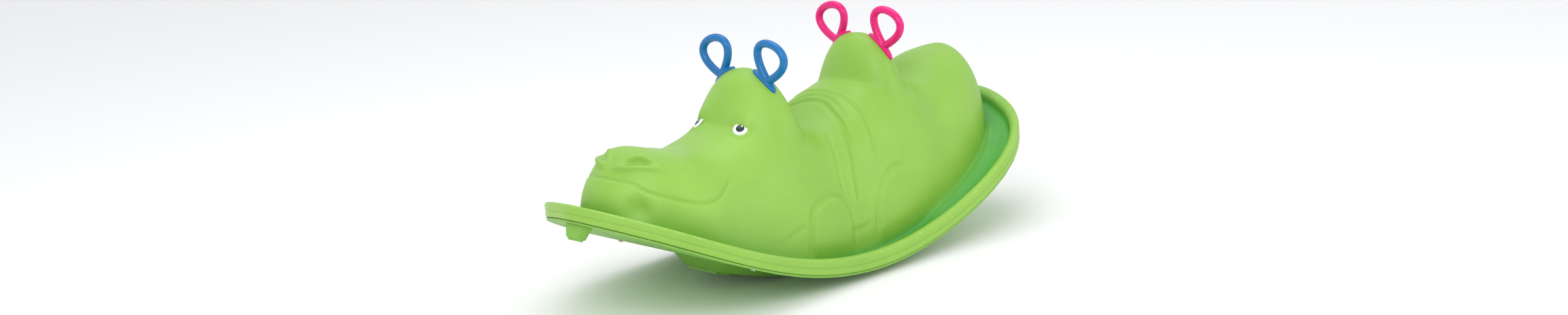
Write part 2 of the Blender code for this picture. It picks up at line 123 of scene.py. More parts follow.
# The rim's rocker curve and outline. A higher power makes an outline squarer in the middle, a
# lower roundness makes its ends blunter.
HALF_LENGTH = 0.515
HALF_WIDTH = 0.217
OUTLINE_POWER = 6.8
OUTLINE_ROUNDNESS = 0.74
LIP_LOW_HEIGHT = 0.045
LIP_RISE = 0.173
LIP_FLATTENING = 0.29
LIP_HEIGHT = 0.028
LIP_WIDTH = 0.018
LIP_ROUNDING = 0.007
LIP_GROOVE = 0.0012  # depth of the line that runs round the lip's outer face
TROUGH_DEPTH = 0.020
TROUGH_FILLET = 0.006
WALL = 0.0035

# The loaf-shaped body with its head dome and hump dome
BODY_HALF_LENGTH = 0.465
BODY_HALF_WIDTH = 0.160
BODY_POWER = 3.4
BODY_ROUNDNESS = 0.46
SPINE_HALF_LENGTH = 0.385
SECTION_POWER = 2.5
RIDGE = [
    (-0.540, 0.215),
    (-0.480, 0.247),
    (-0.430, 0.260),
    (-0.380, 0.283),
    (-0.320, 0.270),
    (-0.260, 0.257),
    (-0.200, 0.267),
    (-0.100, 0.294),
    (0.000, 0.246),
    (0.100, 0.289),
    (0.200, 0.309),
    (0.270, 0.280),
    (0.320, 0.304),
    (0.370, 0.3215),
    (0.420, 0.328),
    (0.480, 0.294),
    (0.540, 0.235),
]
DOME_FOOT_HEIGHT = 0.183
DOME_BLEND = 0.055
DOME_SKIRT_SLOPE = 2  # outside its foot a dome goes on down as a steep wall
HEAD_DOME = {"x": -0.100, "front": 0.071, "rear": 0.067,
             "half_width": 0.117, "top": 0.3675, "power": 2.1}
HUMP_DOME = {"x": 0.187, "front": 0.052, "rear": 0.057,
             "half_width": 0.102, "top": 0.3785, "power": 2.4}

# Relief of the face. A path lists (x, distance from the middle plane, z).
MOUTH_PATH = [
    (-0.436, 0.000, 0.244),
    (-0.432, 0.028, 0.242),
    (-0.421, 0.054, 0.237),
    (-0.410, 0.079, 0.224),
    (-0.390, 0.098, 0.213),
    (-0.359, 0.115, 0.199),
    (-0.326, 0.124, 0.190),
    (-0.295, 0.126, 0.193),
    (-0.270, 0.119, 0.205),
    (-0.258, 0.113, 0.212),
]
MOUTH_HALF_WIDTH = 0.0034
MOUTH_DEPTH = 0.0022
MOUTH_EXTRA_DEPTH = 0.0012
MOUTH_DEEPENS = (-0.42, -0.36)  # stations between which the extra depth comes in
# The jaw stands out under the mouth line: its height, the distances below the line over which it
# rises and dies out, and the stations over which it ends at the cheek.
JAW_HEIGHT = 0.0026
JAW_RISES = (-0.001, 0.004)
JAW_DIES_OUT = (0.015, 0.060)
JAW_ENDS = (-0.300, -0.262)
# An oval nostril on top of the muzzle, with a raised rim that thickens to a lid on its front side.
# The wall and the rim are placed in shares of the oval.
NOSTRIL = (-0.394, 0.043)
NOSTRIL_TURN = math.radians(54)
NOSTRIL_HALF_SIZE = (0.025, 0.0072)
NOSTRIL_DEPTH = 0.0080
NOSTRIL_WALL = (0.35, 1.10)
NOSTRIL_RIM_HEIGHT = 0.0022
NOSTRIL_RIM_SHARE = 1.42
NOSTRIL_RIM_WIDTH = 0.40
NOSTRIL_LID_HEIGHT = 0.0036
NOSTRIL_LID_RISES = (-0.004, 0.006)
MUZZLE_TOP = (0.235, 0.250)  # heights between which the nostril's relief comes in
EYE_STATION = -0.166
EYE_OFFSET = 0.052
EYE_RADIUS = 0.013
# The ring and the groove round each eye: share of the eye's radius, width, height.
EYE_RINGS = [(1.22, 0.0022, 0.0014), (1.62, 0.0020, -0.0008)]

# Each groove lies in a soft swelling: shares of its depth, and how much wider the swelling is.
GROOVE_SHARE = 1.45
GROOVE_SWELL_SHARE = 0.55
GROOVE_SWELL_WIDTH = 3.4
# Folds of the neck and outlines of the legs, with the depth and half width of each groove
FOLDS = [
    ([(0.070, 0.000, 0.273), (0.067, 0.025, 0.272), (0.058, 0.050, 0.264), (0.053, 0.073, 0.251),
      (0.044, 0.097, 0.231), (0.029, 0.124, 0.193), (0.018, 0.140, 0.161), (0.012, 0.151, 0.126)],
     0.0038, 0.0040),
    ([(0.082, 0.000, 0.280), (0.078, 0.030, 0.277), (0.070, 0.060, 0.264), (0.064, 0.080, 0.252)],
     0.0030, 0.0036),
    ([(0.094, 0.000, 0.287), (0.093, 0.045, 0.281), (0.093, 0.078, 0.268), (0.089, 0.101, 0.249),
      (0.085, 0.116, 0.230), (0.078, 0.133, 0.197)],
     0.0034, 0.0038),
    ([(0.014, 0.079, 0.231), (0.001, 0.107, 0.210), (-0.016, 0.132, 0.175), (-0.020, 0.149, 0.134),
      (-0.012, 0.156, 0.101), (-0.011, 0.160, 0.050)],
     0.0018, 0.0042),
    ([(-0.124, 0.160, 0.055), (-0.116, 0.158, 0.090), (-0.112, 0.156, 0.119), (-0.099, 0.153, 0.137),
      (-0.070, 0.150, 0.146), (-0.043, 0.149, 0.143), (-0.026, 0.149, 0.136)],
     0.0030, 0.0036),
    ([(0.045, 0.159, 0.070), (0.049, 0.158, 0.098), (0.059, 0.154, 0.122), (0.076, 0.150, 0.146),
      (0.097, 0.148, 0.159), (0.120, 0.148, 0.164), (0.134, 0.149, 0.160)],
     0.0030, 0.0036),
    ([(-0.017, 0.159, 0.077), (0.008, 0.159, 0.075), (0.030, 0.159, 0.079)], 0.0022, 0.0034),
    ([(-0.215, 0.152, 0.090), (-0.170, 0.156, 0.097), (-0.128, 0.158, 0.108)], 0.0018, 0.0040),
]
# Leg bulges: middle x, middle z, half length, half height, how far it stands out.
LEGS = [(-0.066, 0.062, 0.054, 0.084, 0.0060), (0.128, 0.070, 0.082, 0.094, 0.0055)]
LEG_POWER = 2.6
LEG_EDGE = (0.86, 1.06)  # shares of a leg's outline over which it slopes down to the body
LEG_REAR_FADE = 0.75
LEG_SIDE = (0.105, 0.140)  # distances from the middle plane over which the legs come in
# Soft swellings and hollows: (x, distance from the middle, z), radius, height.
SWELLINGS = [
    ((-0.335, 0.128, 0.160), 0.055, 0.007),
    ((-0.429, 0.076, 0.200), 0.023, -0.0095),
    ((-0.395, 0.040, 0.270), 0.034, 0.004),
    ((-0.160, 0.052, 0.290), 0.026, 0.0090),
    ((-0.160, 0.034, 0.283), 0.006, -0.0016),
    ((-0.162, 0.004, 0.287), 0.006, -0.0014),
    ((-0.060, 0.112, 0.250), 0.050, 0.003),
]
CROWN = (0.395, 0.045, 0.0075)  # the rump's flattened top: its station, radius and depth
FOOT_LEDGE = (0.175, 0.430)  # stations between which the body's foot widens into a ledge
FOOT_LEDGE_FADES = (0.03, 0.02)  # half the run over which it starts and ends
FOOT_LEDGE_WIDTH = 0.018
FOOT_LEDGE_EDGE = 0.004
FOOT_LEDGE_HEIGHT = 0.010

COLUMNS = 440
BODY_ROWS = 88
ROW_CROWDING = 0.9
RELIEF_END = 0.9985  # share of the way to the foot where the relief starts to fade out
CORNER_STEPS = 7
FOOT_SOFTENING = {"rows_above": 8, "rows_below": 10, "times": 5}
SAME_PLACE = 0.00001
SLIVER = 0.000005


def lip_top(x):
    t = x / HALF_LENGTH
    return LIP_LOW_HEIGHT + LIP_RISE * t * t * (1 + LIP_FLATTENING - LIP_FLATTENING * t * t)


def outline_width(x):
    t = np.minimum(np.abs(x) / HALF_LENGTH, 1)
    return HALF_WIDTH * (1 - t**OUTLINE_POWER) ** OUTLINE_ROUNDNESS


def body_width(x):
    t = np.minimum(np.abs(x) / BODY_HALF_LENGTH, 1)
    return BODY_HALF_WIDTH * (1 - t**BODY_POWER) ** BODY_ROUNDNESS


def smooth_path(points, steps):
    """Points on a smooth curve through the given ones."""
    p = np.array(points, float)
    p = np.vstack([2 * p[0] - p[1], p, 2 * p[-1] - p[-2]])
    curve = []
    for a, b, c, d in zip(p, p[1:], p[2:], p[3:]):
        for t in np.arange(steps) / steps:
            curve.append(
                0.5 * (2 * b + (c - a) * t + (2 * a - 5 * b + 4 * c - d) * t**2
                       + (3 * b - a - 3 * c + d) * t**3)
            )
    return np.array(curve + [p[-2]])


def ridge(x):
    xs, zs = np.array(RIDGE).T
    i = np.clip(np.searchsorted(xs, x) - 1, 1, len(xs) - 3)
    gap = xs[i + 1] - xs[i]
    t = (x - xs[i]) / gap
    start = (zs[i + 1] - zs[i - 1]) / (xs[i + 1] - xs[i - 1]) * gap
    end = (zs[i + 2] - zs[i]) / (xs[i + 2] - xs[i]) * gap
    bend = (2 * t**3 - 3 * t**2 + 1) * zs[i] + (3 * t**2 - 2 * t**3) * zs[i + 1]
    return bend + (t**3 - 2 * t**2 + t) * start + (t**3 - t**2) * end


def smooth_highest(one, other, blend):
    near = np.maximum(blend - np.abs(one - other), 0) / blend
    return np.maximum(one, other) + near * near * blend / 4


def dome_height(x, y, dome):
    half_length = np.where(x < dome["x"], dome["front"], dome["rear"])
    away = np.hypot((x - dome["x"]) / half_length, y / dome["half_width"])
    rise = (1 - np.minimum(away, 1) ** dome["power"]) ** (1 / dome["power"])
    height = DOME_FOOT_HEIGHT + (dome["top"] - DOME_FOOT_HEIGHT) * rise
    return height - DOME_SKIRT_SLOPE * np.maximum(away - 1, 0)


def body_skin(along, share):
    """Points of the body: along from -1 to 1, share from the spine (0) to the foot (1)."""
    x = along * (SPINE_HALF_LENGTH + (BODY_HALF_LENGTH - SPINE_HALF_LENGTH) * share)
    y = body_width(BODY_HALF_LENGTH * along) * share
    floor = lip_top(x) - TROUGH_DEPTH
    z = floor + (ridge(x) - floor) * (1 - share**SECTION_POWER) ** (1 / SECTION_POWER)
    for dome in (HEAD_DOME, HUMP_DOME):
        z = smooth_highest(z, dome_height(x, y, dome), DOME_BLEND)
    return np.stack([x, y, z], -1)


def body_height(x, y):
    low, high = 0.0, 1.0
    for _ in range(40):
        share = (low + high) / 2
        along = x / (SPINE_HALF_LENGTH + (BODY_HALF_LENGTH - SPINE_HALF_LENGTH) * share)
        if body_width(BODY_HALF_LENGTH * along) * share < abs(y):
            low = share
        else:
            high = share
    return float(body_skin(np.array(along), np.array(share))[2])


def distance_to_path(points, path):
    nearest = np.full(points.shape[:-1], 1.0)
    for a, b in zip(path, path[1:]):
        run = b - a
        share = np.clip(((points - a) @ run) / (run @ run), 0, 1)
        nearest = np.minimum(nearest, np.linalg.norm(points - (a + share[..., None] * run), axis=-1))
    return nearest


def soft_step(value, start, end):
    t = np.clip((value - start) / (end - start), 0, 1)
    return t * t * (3 - 2 * t)


def body_relief(p):
    """How far the mould's relief stands out of the plain body at these points."""
    x, y, z = p[..., 0], p[..., 1], p[..., 2]
    out = np.zeros(x.shape)
    for middle, radius, height in SWELLINGS:
        away = np.linalg.norm(p - np.array(middle), axis=-1)
        out += height * np.exp(-((away / radius) ** 2))

    mouth = smooth_path(MOUTH_PATH, 5)
    away = distance_to_path(p, mouth)
    mouth_depth = MOUTH_DEPTH + MOUTH_EXTRA_DEPTH * soft_step(x, *MOUTH_DEEPENS)
    out -= mouth_depth * np.exp(-((away / MOUTH_HALF_WIDTH) ** 2))
    below = np.interp(x, mouth[:, 0], mouth[:, 2]) - z
    jaw = soft_step(below, *JAW_RISES) * (1 - soft_step(below, *JAW_DIES_OUT))
    out += JAW_HEIGHT * jaw * (1 - soft_step(x, *JAW_ENDS))

    u = (x - NOSTRIL[0]) * math.cos(NOSTRIL_TURN) + (y - NOSTRIL[1]) * math.sin(NOSTRIL_TURN)
    v = (y - NOSTRIL[1]) * math.cos(NOSTRIL_TURN) - (x - NOSTRIL[0]) * math.sin(NOSTRIL_TURN)
    oval = np.hypot(u / NOSTRIL_HALF_SIZE[0], v / NOSTRIL_HALF_SIZE[1])
    on_top = soft_step(z, *MUZZLE_TOP)
    rim_height = NOSTRIL_RIM_HEIGHT + NOSTRIL_LID_HEIGHT * soft_step(v, *NOSTRIL_LID_RISES)
    out -= NOSTRIL_DEPTH * (1 - soft_step(oval, *NOSTRIL_WALL)) * on_top
    out += rim_height * np.exp(-(((oval - NOSTRIL_RIM_SHARE) / NOSTRIL_RIM_WIDTH) ** 2)) * on_top

    # Distances to the eye's place on the plain body, before the brow lifts it
    eye = np.array((EYE_STATION, EYE_OFFSET, body_height(EYE_STATION, EYE_OFFSET)))
    away = np.linalg.norm(p - eye, axis=-1)
    for radius_share, width, height in EYE_RINGS:
        out += height * np.exp(-(((away - EYE_RADIUS * radius_share) / width) ** 2))

    side = soft_step(y, *LEG_SIDE)
    for middle_x, middle_z, half_length, half_height, height in LEGS:
        reach = (np.abs((x - middle_x) / half_length) ** LEG_POWER
                 + np.maximum((z - middle_z) / half_height, 0) ** LEG_POWER) ** (1 / LEG_POWER)
        rear_fade = 1 - LEG_REAR_FADE * soft_step(x, middle_x, middle_x + half_length)
        out += height * (1 - soft_step(reach, *LEG_EDGE)) * side * rear_fade
    for path, depth, half_width in FOLDS:
        away = distance_to_path(p, smooth_path(path, 4))
        out += depth * (GROOVE_SWELL_SHARE * np.exp(-((away / (GROOVE_SWELL_WIDTH * half_width)) ** 2))
                        - GROOVE_SHARE * np.exp(-((away / half_width) ** 2)))
    return out


def lip_profile():
    """The way out from the body's foot, through the trough, up and over the lip and down outside it.
    Each row: share of the way to the lip's inner face, extra distance, depth below the lip's top."""
    quarter = np.linspace(0, math.pi / 2, CORNER_STEPS)
    r = TROUGH_FILLET
    profile = [(s, 0.0, TROUGH_DEPTH) for s in np.linspace(0.08, 1, 11)[:-1]]
    profile += [(1, -r + r * math.sin(a), TROUGH_DEPTH - r + r * math.cos(a)) for a in quarter]
    r = LIP_ROUNDING
    profile += [(1, r - r * math.cos(a), r - r * math.sin(a)) for a in quarter]
    profile += [(1, LIP_WIDTH - r + r * math.sin(a), r - r * math.cos(a)) for a in quarter]
    profile += [(1, LIP_WIDTH, LIP_HEIGHT * s) for s in (0.34, 0.44, 0.52)]
    profile += [(1, LIP_WIDTH - LIP_GROOVE, LIP_HEIGHT * s) for s in (0.56, 0.60)]
    profile += [(1, LIP_WIDTH, LIP_HEIGHT * s) for s in (0.64, 0.74, 0.86, 0.95)]
    profile.append((1, LIP_WIDTH - LIP_GROOVE, LIP_HEIGHT))
    return profile


def body_half():
    """Grid of points of the left half, from the spine down to the foot and out over the rim."""
    along = np.sin(math.pi * (np.arange(COLUMNS + 1) / COLUMNS - 0.5))
    share = np.sin(np.linspace(0, math.pi / 2, BODY_ROWS)) ** ROW_CROWDING
    skin = body_skin(along[:, None], share[None, :])
    across = np.gradient(skin, axis=1)
    lengthways = np.gradient(skin, axis=0)
    normal = np.cross(lengthways, across)
    normal /= np.maximum(np.linalg.norm(normal, axis=-1), 1e-12)[..., None]
    normal[:, 0, 1] = 0
    normal[0] = (-1, 0, 0)
    normal[-1] = (1, 0, 0)
    relief = body_relief(skin) * (1 - soft_step(share, RELIEF_END, 1.0))[None, :]
    skin = skin + normal * relief[..., None]
    from_crown = np.hypot(skin[..., 0] - CROWN[0], skin[..., 1]) / CROWN[1]
    skin[..., 2] -= CROWN[2] * np.exp(-from_crown**2)
    skin[:, 0, 1] = 0
    skin[[0, -1], :, 1] = 0

    foot = skin[:, -1].copy()
    foot[:, 2] = 0
    x_lip = HALF_LENGTH * along
    rim = np.stack([x_lip, outline_width(x_lip), np.zeros(len(along))], -1)
    across = rim - foot
    run = np.linalg.norm(across, axis=1)
    across /= run[:, None]
    (ledge_start, ledge_end), (fade_in, fade_out) = FOOT_LEDGE, FOOT_LEDGE_FADES
    ledge_here = soft_step(foot[:, 0], ledge_start - fade_in, ledge_start + fade_in)
    ledge_here *= 1 - soft_step(foot[:, 0], ledge_end - fade_out, ledge_end + fade_out)
    rows = []
    for share_out, extra, below in lip_profile():
        distance = (run - LIP_WIDTH) * share_out + extra
        point = foot + across * distance[:, None]
        on_ledge = 1 - soft_step(distance, FOOT_LEDGE_WIDTH - FOOT_LEDGE_EDGE, FOOT_LEDGE_WIDTH)
        point[:, 2] = lip_top(point[:, 0]) - below + FOOT_LEDGE_HEIGHT * (ledge_here * on_ledge)
        rows.append(point)
    return np.concatenate([skin, np.stack(rows, 1)], axis=1)


def soften_rows(grid, first, last, times):
    """Rounds the corners between rows, as a mould does."""
    for _ in range(times):
        middle = grid[:, first:last]
        above = grid[:, first - 1 : last - 1]
        below = grid[:, first + 1 : last + 1]
        grid[:, first:last] = (above + 2 * middle + below) / 4
    return grid


def mesh_from_grid(name, grid):
    """Quads over a grid of points, with points in the same place joined."""
    columns, rows = grid.shape[:2]
    index = np.arange(columns * rows).reshape(columns, rows)
    quads = np.stack([index[:-1, :-1], index[1:, :-1], index[1:, 1:], index[:-1, 1:]], -1).reshape(-1, 4)
    mesh = bpy.data.meshes.new(name)
    mesh.from_pydata(grid.reshape(-1, 3).tolist(), [], quads.tolist())
    bm = bmesh.new()
    bm.from_mesh(mesh)
    bmesh.ops.remove_doubles(bm, verts=bm.verts, dist=SAME_PLACE)
    bmesh.ops.dissolve_degenerate(bm, edges=bm.edges, dist=SLIVER)
    bmesh.ops.recalc_face_normals(bm, faces=bm.faces)
    bm.to_mesh(mesh)
    bm.free()
    mesh.shade_smooth()
    return mesh


def put_in_scene(name, mesh, material, slot, *nodes):
    """One finished piece: it rides on the seesaw's body and stands for the nodes it replaces."""
    obj = bpy.data.objects.new(name, mesh)
    bpy.context.scene.collection.objects.link(obj)
    mesh.materials.clear()
    mesh.materials.append(material)
    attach(obj, "root")
    if nodes:
        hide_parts(*nodes)
    return obj


def group_socket(group, name, kind, way, value=None):
    socket = group.interface.new_socket(name=name, in_out=way, socket_type=kind)
    if value is not None:
        socket.default_value = value
    return socket


def wire(tree, source, target):
    tree.links.new(source, target)


def math_node(tree, operation, first, second):
    node = tree.nodes.new("ShaderNodeMath")
    node.operation = operation
    for slot_number, value in enumerate((first, second)):
        if isinstance(value, (int, float)):
            node.inputs[slot_number].default_value = value
        else:
            wire(tree, value, node.inputs[slot_number])
    return node.outputs[0]


def build_moulded_grain():
    """Shader group of a rotomoulded skin: fine sand-blasted grain over a slow orange peel."""
    group = bpy.data.node_groups.new("moulded_grain", "ShaderNodeTree")
    group_socket(group, "Grain Scale", "NodeSocketFloat", "INPUT", 700.0)
    group_socket(group, "Peel Scale", "NodeSocketFloat", "INPUT", 130.0)
    group_socket(group, "Smoothest", "NodeSocketFloat", "INPUT", 0.34)
    group_socket(group, "Roughest", "NodeSocketFloat", "INPUT", 0.48)
    group_socket(group, "Height", "NodeSocketFloat", "OUTPUT")
    group_socket(group, "Roughness", "NodeSocketFloat", "OUTPUT")
    group_socket(group, "Tone", "NodeSocketFloat", "OUTPUT")
    nodes = group.nodes
    inputs = nodes.new("NodeGroupInput")
    outputs = nodes.new("NodeGroupOutput")
    place = nodes.new("ShaderNodeTexCoord").outputs["Object"]

    grain = nodes.new("ShaderNodeTexNoise")
    grain.inputs["Detail"].default_value = 3.0
    wire(group, place, grain.inputs["Vector"])
    wire(group, inputs.outputs["Grain Scale"], grain.inputs["Scale"])
    peel = nodes.new("ShaderNodeTexVoronoi")
    peel.feature = "SMOOTH_F1"
    wire(group, place, peel.inputs["Vector"])
    wire(group, inputs.outputs["Peel Scale"], peel.inputs["Scale"])
    fine = math_node(group, "MULTIPLY", grain.outputs["Fac"], 0.35)
    coarse = math_node(group, "MULTIPLY", peel.outputs["Distance"], 0.65)
    wire(group, math_node(group, "ADD", fine, coarse), outputs.inputs["Height"])

    patches = nodes.new("ShaderNodeTexNoise")
    patches.inputs["Scale"].default_value = 24.0
    patches.inputs["Detail"].default_value = 4.0
    wire(group, place, patches.inputs["Vector"])
    spread = nodes.new("ShaderNodeMapRange")
    spread.inputs["From Min"].default_value = 0.3
    spread.inputs["From Max"].default_value = 0.7
    wire(group, patches.outputs["Fac"], spread.inputs["Value"])
    wire(group, inputs.outputs["Smoothest"], spread.inputs["To Min"])
    wire(group, inputs.outputs["Roughest"], spread.inputs["To Max"])
    wire(group, spread.outputs["Result"], outputs.inputs["Roughness"])

    clouds = nodes.new("ShaderNodeTexNoise")
    clouds.inputs["Scale"].default_value = 5.0
    clouds.inputs["Detail"].default_value = 3.0
    wire(group, place, clouds.inputs["Vector"])
    specks = nodes.new("ShaderNodeTexNoise")
    specks.inputs["Scale"].default_value = 380.0
    wire(group, place, specks.inputs["Vector"])
    slow = math_node(group, "MULTIPLY", clouds.outputs["Fac"], 0.8)
    quick = math_node(group, "MULTIPLY", specks.outputs["Fac"], 0.2)
    wire(group, math_node(group, "ADD", slow, quick), outputs.inputs["Tone"])
    return group


def build_edge_scuff():
    """Shader group that breaks a wear mask up into fine rubbed patches and short scratches."""
    group = bpy.data.node_groups.new("edge_scuff", "ShaderNodeTree")
    group_socket(group, "Wear", "NodeSocketFloat", "INPUT", 0.0)
    group_socket(group, "Scale", "NodeSocketFloat", "INPUT", 90.0)
    group_socket(group, "Mask", "NodeSocketFloat", "OUTPUT")
    nodes = group.nodes
    inputs = nodes.new("NodeGroupInput")
    outputs = nodes.new("NodeGroupOutput")
    place = nodes.new("ShaderNodeTexCoord").outputs["Object"]
    rubbed = nodes.new("ShaderNodeTexNoise")
    rubbed.inputs["Detail"].default_value = 6.0
    rubbed.inputs["Roughness"].default_value = 0.7
    wire(group, place, rubbed.inputs["Vector"])
    wire(group, inputs.outputs["Scale"], rubbed.inputs["Scale"])
    stretch = nodes.new("ShaderNodeMapping")
    stretch.inputs["Scale"].default_value = (0.12, 1.0, 1.0)
    wire(group, place, stretch.inputs["Vector"])
    scratches = nodes.new("ShaderNodeTexNoise")
    scratches.inputs["Scale"].default_value = 420.0
    scratches.inputs["Detail"].default_value = 2.0
    wire(group, stretch.outputs["Vector"], scratches.inputs["Vector"])
    patchy = math_node(group, "MULTIPLY", rubbed.outputs["Fac"], scratches.outputs["Fac"])
    shown = nodes.new("ShaderNodeMapRange")
    shown.inputs["From Min"].default_value = 0.26
    shown.inputs["From Max"].default_value = 0.42
    wire(group, patchy, shown.inputs["Value"])
    wire(group, math_node(group, "MULTIPLY", shown.outputs["Result"], inputs.outputs["Wear"]),
         outputs.inputs["Mask"])
    return group


MOULDED_GRAIN = build_moulded_grain()
EDGE_SCUFF = build_edge_scuff()


def moulded_plastic(name, dark, light, smoothest, roughest, bump, subsurface, painted_shade_color=None, scuffed=None):
    """Material of a moulded piece, mottled from dark to light. With a shade colour and a scuffed colour
    it also mixes in painted shade, a darker colour where shade falls, along one mesh attribute, and
    turns paler where the wear attribute says it is rubbed."""
    material = bpy.data.materials.new(name)
    material.use_nodes = True
    tree = material.node_tree
    shader = tree.nodes["Principled BSDF"]
    shader.inputs["IOR"].default_value = 1.49
    shader.inputs["Subsurface Weight"].default_value = subsurface
    shader.inputs["Subsurface Radius"].default_value = (0.6, 1.0, 0.3)
    shader.inputs["Subsurface Scale"].default_value = 0.006
    grain = tree.nodes.new("ShaderNodeGroup")
    grain.node_tree = MOULDED_GRAIN
    grain.inputs["Smoothest"].default_value = smoothest
    grain.inputs["Roughest"].default_value = roughest
    tone = tree.nodes.new("ShaderNodeMapRange")
    tone.inputs["From Min"].default_value = 0.38
    tone.inputs["From Max"].default_value = 0.62
    wire(tree, grain.outputs["Tone"], tone.inputs["Value"])
    mottle = tree.nodes.new("ShaderNodeMix")
    mottle.data_type = "RGBA"
    mottle.inputs["A"].default_value = (*dark, 1)
    mottle.inputs["B"].default_value = (*light, 1)
    wire(tree, tone.outputs["Result"], mottle.inputs["Factor"])
    color = mottle.outputs["Result"]
    roughness = grain.outputs["Roughness"]
    # Painted shade: given a shade colour, a mesh attribute mixes it in where shade falls, and a wear
    # attribute pales rubbed places.
    if painted_shade_color:
        painted_shade = tree.nodes.new("ShaderNodeAttribute")
        painted_shade.attribute_name = "painted_shade"
        painted_shade_mix = tree.nodes.new("ShaderNodeMix")
        painted_shade_mix.data_type = "RGBA"
        painted_shade_mix.inputs["B"].default_value = (*painted_shade_color, 1)
        wire(tree, painted_shade.outputs["Fac"], painted_shade_mix.inputs["Factor"])
        wire(tree, color, painted_shade_mix.inputs["A"])
        color = painted_shade_mix.outputs["Result"]
        wear = tree.nodes.new("ShaderNodeAttribute")
        wear.attribute_name = "wear"
        scuff = tree.nodes.new("ShaderNodeGroup")
        scuff.node_tree = EDGE_SCUFF
        wire(tree, wear.outputs["Fac"], scuff.inputs["Wear"])
        rubbed = tree.nodes.new("ShaderNodeMix")
        rubbed.data_type = "RGBA"
        rubbed.inputs["B"].default_value = (*scuffed, 1)
        wire(tree, scuff.outputs["Mask"], rubbed.inputs["Factor"])
        wire(tree, color, rubbed.inputs["A"])
        color = rubbed.outputs["Result"]
        rougher = math_node(tree, "MULTIPLY", scuff.outputs["Mask"], 0.18)
        roughness = math_node(tree, "ADD", roughness, rougher)
    wire(tree, color, shader.inputs["Base Color"])
    wire(tree, roughness, shader.inputs["Roughness"])
    relief = tree.nodes.new("ShaderNodeBump")
    relief.inputs["Strength"].default_value = bump
    relief.inputs["Distance"].default_value = 0.0006
    wire(tree, grain.outputs["Height"], relief.inputs["Height"])
    wire(tree, relief.outputs["Normal"], shader.inputs["Normal"])
    return material


GREEN_DARK = (0.240, 0.470, 0.055)
GREEN_LIGHT = (0.280, 0.520, 0.066)
GREEN_SCUFFED = (0.40, 0.62, 0.20)
# Painted shade: the darker green laid into the trough and up the body's foot
GREEN_PAINTED_SHADE = (0.045, 0.370, 0.040)
green_plastic = moulded_plastic("green_polyethylene", GREEN_DARK, GREEN_LIGHT, smoothest=0.36,
                                roughest=0.50, bump=0.35, subsurface=0.10, painted_shade_color=GREEN_PAINTED_SHADE,
                                scuffed=GREEN_SCUFFED)

left_half = soften_rows(body_half(), BODY_ROWS - FOOT_SOFTENING["rows_above"],
                        BODY_ROWS + FOOT_SOFTENING["rows_below"], FOOT_SOFTENING["times"])
right_half = left_half[:, :0:-1]
left_half = left_half * np.array((1, -1, 1))
body_mesh = mesh_from_grid("body_moulding", np.concatenate([right_half, left_half], axis=1))
body_moulding = put_in_scene("body_moulding", body_mesh, green_plastic, "body_plastic", "body_shell")

# Hands and shoes rub the rim's rounded top most; the rest is scuffed lightly all over.
RIM_WEAR = 0.55
BODY_WEAR = 0.05
RIM_TOP_BAND = (0.001, 0.006)  # heights from the lip's top over which the wear fades
RIM_FROM_BODY = 0.004
places = np.empty(len(body_mesh.vertices) * 3)
body_mesh.vertices.foreach_get("co", places)
places = places.reshape(-1, 3)
from_lip = np.abs(places[:, 2] - lip_top(places[:, 0]))
beside_body = np.abs(places[:, 1]) > body_width(places[:, 0]) + RIM_FROM_BODY
past_body = np.abs(places[:, 0]) > BODY_HALF_LENGTH
rubbed_rim = (1 - soft_step(from_lip, *RIM_TOP_BAND)) * (beside_body | past_body)
wear = body_mesh.attributes.new("wear", "FLOAT", "POINT")
wear.data.foreach_set("value", (RIM_WEAR * rubbed_rim + BODY_WEAR).astype(np.float32))

# Painted shade: the colour is darkened most at the bottom of the trough, and a little up the body's
# foot, where shade falls.
TROUGH_PAINTED_SHADE = 0.72
FOOT_PAINTED_SHADE = 0.12
SHADE_BELOW_LIP = (0.001, TROUGH_DEPTH * 0.9)
FOOT_ABOVE_LIP = (-0.012, 0.030)  # heights above the lip over which the painted shade on the foot fades
LIP_INNER_SHARE = 0.6  # share of the lip's width, from outside, that doesn't count as trough
below_lip = lip_top(places[:, 0]) - places[:, 2]
inside_rim = np.abs(places[:, 1]) < outline_width(places[:, 0]) - LIP_WIDTH * LIP_INNER_SHARE
trough_shade = soft_step(below_lip, *SHADE_BELOW_LIP) * inside_rim
up_the_foot = 1 - soft_step(-below_lip, *FOOT_ABOVE_LIP)
painted_shade_amount = TROUGH_PAINTED_SHADE * trough_shade + FOOT_PAINTED_SHADE * up_the_foot * inside_rim
painted_shade = body_mesh.attributes.new("painted_shade", "FLOAT", "POINT")
painted_shade.data.foreach_set("value", painted_shade_amount.astype(np.float32))
wall = body_moulding.modifiers.new("wall", "SOLIDIFY")
wall.thickness = WALL
wall.offset = -1


# ---------------------------------------------------------------- rocker base, stop pads and feet
# The second moulding closes the body from below. Its broad keel rolls on the floor; a stop pad
# at each end of the keel and a foot under each tip of the rim end the rocking softly.
# Painted shade: the base, the pads and the feet take the body's green painted darker, for the shade that
# lies under the rim.
SHADED_BASE_DARK = (0.180, 0.420, 0.050)
SHADED_BASE_LIGHT = (0.215, 0.465, 0.060)
painted_shade_base_plastic = moulded_plastic("green_polyethylene_base_painted_shade", SHADED_BASE_DARK, SHADED_BASE_LIGHT, smoothest=0.42,
                               roughest=0.58, bump=0.45, subsurface=0.06)
for node_name in ("rocker_base", "front_stop_pad", "rear_stop_pad", "front_foot", "rear_foot"):
    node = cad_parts[node_name]
    node.data.materials.clear()
    node.data.materials.append(painted_shade_base_plastic)


# ---------------------------------------------------------------- screws and washers
# Zinc-plated pan-head screws close the base, and one with a washer pulls each ear handle down
# from inside the body. All of them are bought parts.
ZINC_DARK = (0.42, 0.44, 0.47)
ZINC_LIGHT = (0.62, 0.61, 0.58)


